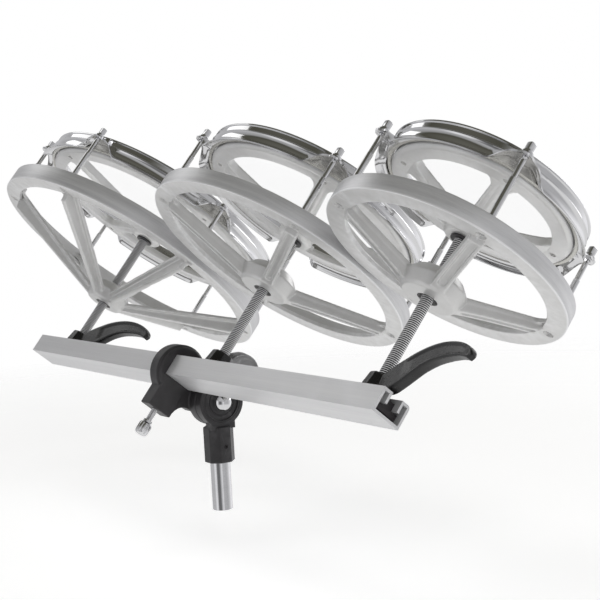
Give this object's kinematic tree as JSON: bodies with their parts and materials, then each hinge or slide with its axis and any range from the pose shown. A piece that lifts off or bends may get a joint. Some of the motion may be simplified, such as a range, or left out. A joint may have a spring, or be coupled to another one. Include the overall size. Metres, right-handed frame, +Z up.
{
  "type": "tunable tom set",
  "caption": "Shell-less tuning drums on threaded spindles, side by side on a slotted rail that tilts on a stand tube.",
  "frame": {"origin": "centre of the stand tube's lower end", "axes": "+X along the rail, from the largest drum to the smallest; +Y towards the side the heads lean to; +Z up along the stand tube"},
  "size_m": [0.7772, 0.2686, 0.3544],
  "materials": {
    "cast_aluminium": "satin cast, brushed on the ring's outer band",
    "rail_aluminium": "satin anodised",
    "chrome": "polished",
    "threaded_steel": "bright zinc",
    "dark_steel": "dark phosphate",
    "black_plastic": "satin black",
    "flesh_ring_aluminium": "pale satin",
    "clear_film": "clear gloss"
  },
  "bodies": {
    "stand": {"stand_tube": "chrome", "tilter_socket": "black_plastic", "socket_set_screw": "dark_steel"},
    "clamp": {"rail_clamp": "black_plastic", "tilter_bolt": "threaded_steel", "tilter_dome_nut": "chrome"},
    "clamp_screw": {"clamp_screw": "chrome"},
    "rail": {"rail": "rail_aluminium"},
    "right_spindle_body": {"right_slide_nut": "dark_steel", "right_spindle": "threaded_steel"},
    "right_lever_body": {"right_lock_lever": "black_plastic"},
    "right_drum_body": {"right_upper_frame": "cast_aluminium", "right_hub_bush": "black_plastic", "right_head_film": "clear_film", "right_flesh_ring": "flesh_ring_aluminium"},
    "right_tuning_body": {"right_lower_frame": "cast_aluminium", "right_thread_insert": "dark_steel", "right_hoop": "chrome", "right_tension_rod_1": "chrome", "right_tension_rod_2": "chrome", "right_tension_rod_3": "chrome", "right_tension_rod_4": "chrome"},
    "middle_spindle_body": {"middle_slide_nut": "dark_steel", "middle_spindle": "threaded_steel"},
    "middle_lever_body": {"middle_lock_lever": "black_plastic"},
    "middle_drum_body": {"middle_upper_frame": "cast_aluminium", "middle_hub_bush": "black_plastic", "middle_head_film": "clear_film", "middle_flesh_ring": "flesh_ring_aluminium"},
    "middle_tuning_body": {"middle_lower_frame": "cast_aluminium", "middle_thread_insert": "dark_steel", "middle_hoop": "chrome", "middle_tension_rod_1": "chrome", "middle_tension_rod_2": "chrome", "middle_tension_rod_3": "chrome", "middle_tension_rod_4": "chrome"},
    "left_spindle_body": {"left_slide_nut": "dark_steel", "left_spindle": "threaded_steel"},
    "left_lever_body": {"left_lock_lever": "black_plastic"},
    "left_drum_body": {"left_upper_frame": "cast_aluminium", "left_hub_bush": "black_plastic", "left_head_film": "clear_film", "left_flesh_ring": "flesh_ring_aluminium"},
    "left_tuning_body": {"left_lower_frame": "cast_aluminium", "left_thread_insert": "dark_steel", "left_hoop": "chrome", "left_tension_rod_1": "chrome", "left_tension_rod_2": "chrome", "left_tension_rod_3": "chrome", "left_tension_rod_4": "chrome", "left_tension_rod_5": "chrome", "left_tension_rod_6": "chrome"}
  },
  "joints": [
    {"name": "tilt", "type": "hinge", "parent": "stand", "child": "clamp", "pos_m": [0, 0, 0.098], "axis": [1, 0, 0], "range_deg": [-50, 40]},
    {"name": "clamp_screw_turn", "type": "hinge", "parent": "clamp", "child": "clamp_screw", "pos_m": [-0.0185, -0.02035, 0.13348], "axis": [0, 0.6428, 0.766], "range_deg": [0, 360]},
    {"name": "rail_slide", "type": "slide", "parent": "clamp", "child": "rail", "axis": [1, 0, 0], "range_m": [-0.002, 0.15]},
    {"name": "right_slide", "type": "slide", "parent": "rail", "child": "right_spindle_body", "axis": [1, 0, 0], "range_m": [-0.001, 0.005]},
    {"name": "right_lever_turn", "type": "hinge", "parent": "right_spindle_body", "child": "right_lever_body", "pos_m": [0.266, -0.02035, 0.13348], "axis": [0, 0.6428, 0.766], "range_deg": [0, 180]},
    {"name": "right_drum_turn", "type": "hinge", "parent": "right_spindle_body", "child": "right_drum_body", "pos_m": [0.266, -0.02035, 0.13348], "axis": [0, 0.6428, 0.766], "range_deg": [0, 720]},
    {"name": "right_tuning_travel", "type": "slide", "parent": "right_drum_body", "child": "right_tuning_body", "axis": [0, 0.6428, 0.766], "range_m": [0, 0.00318]},
    {"name": "middle_slide", "type": "slide", "parent": "rail", "child": "middle_spindle_body", "axis": [1, 0, 0], "range_m": [-0.004, 0.001]},
    {"name": "middle_lever_turn", "type": "hinge", "parent": "middle_spindle_body", "child": "middle_lever_body", "pos_m": [0.038, -0.02035, 0.13348], "axis": [0, 0.6428, 0.766], "range_deg": [-180, 0]},
    {"name": "middle_drum_turn", "type": "hinge", "parent": "middle_spindle_body", "child": "middle_drum_body", "pos_m": [0.038, -0.02035, 0.13348], "axis": [0, 0.6428, 0.766], "range_deg": [0, 720]},
    {"name": "middle_tuning_travel", "type": "slide", "parent": "middle_drum_body", "child": "middle_tuning_body", "axis": [0, 0.6428, 0.766], "range_m": [0, 0.00318]},
    {"name": "left_slide", "type": "slide", "parent": "rail", "child": "left_spindle_body", "axis": [1, 0, 0], "range_m": [-0.036, 0.008]},
    {"name": "left_lever_turn", "type": "hinge", "parent": "left_spindle_body", "child": "left_lever_body", "pos_m": [-0.252, -0.02035, 0.13348], "axis": [0, 0.6428, 0.766], "range_deg": [0, 180]},
    {"name": "left_drum_turn", "type": "hinge", "parent": "left_spindle_body", "child": "left_drum_body", "pos_m": [-0.252, -0.02035, 0.13348], "axis": [0, 0.6428, 0.766], "range_deg": [0, 720]},
    {"name": "left_tuning_travel", "type": "slide", "parent": "left_drum_body", "child": "left_tuning_body", "axis": [0, 0.6428, 0.766], "range_m": [0, 0.00318]}
  ],
  "couplings": [
    {"joint": "right_tuning_travel", "follows": "right_drum_turn", "m_per_rad": 0.00025266},
    {"joint": "middle_tuning_travel", "follows": "middle_drum_turn", "m_per_rad": 0.00025266},
    {"joint": "left_tuning_travel", "follows": "left_drum_turn", "m_per_rad": 0.00025266}
  ]
}
